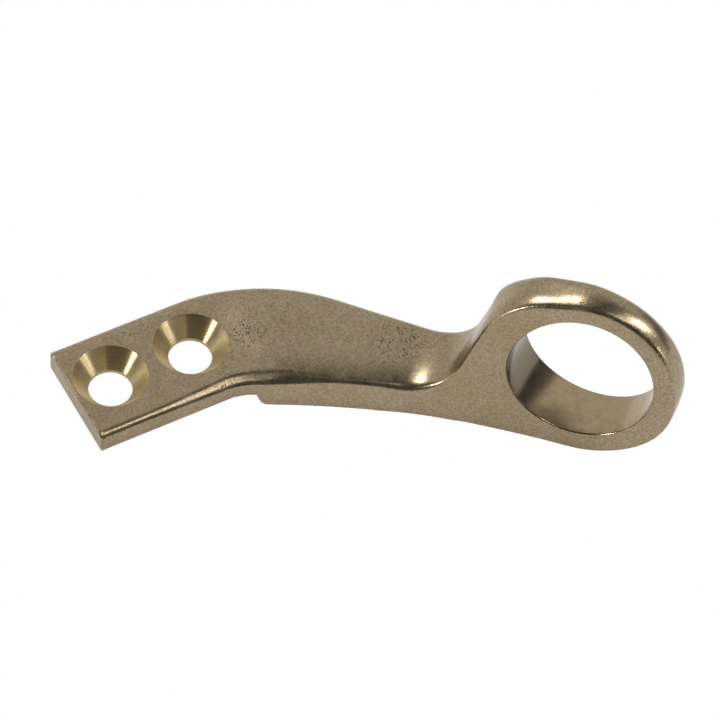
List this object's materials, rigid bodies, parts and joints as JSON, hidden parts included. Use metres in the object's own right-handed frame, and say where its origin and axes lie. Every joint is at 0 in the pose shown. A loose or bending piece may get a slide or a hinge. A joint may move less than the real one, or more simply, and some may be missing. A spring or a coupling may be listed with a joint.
{
  "type": "pad eye",
  "caption": "Cast bronze pad eye: flat tab with countersunk screw holes, an arm that curves away in plan, and an upright ring at its end.",
  "frame": {"origin": "midway between the two screw holes, on the tab's seating face", "axes": "+Z along the screw axes, out of the mounting surface; +X along the tab from its free end towards the arm; the arm and ring swing towards -Y"},
  "size_m": [0.0652, 0.0462, 0.024],
  "materials": {
    "bronze": "satin as-cast bronze, fine-grained and warm brown-grey, with brighter turned countersinks"
  },
  "bodies": {
    "root": {"eye_casting": "bronze"}
  },
  "joints": []
}
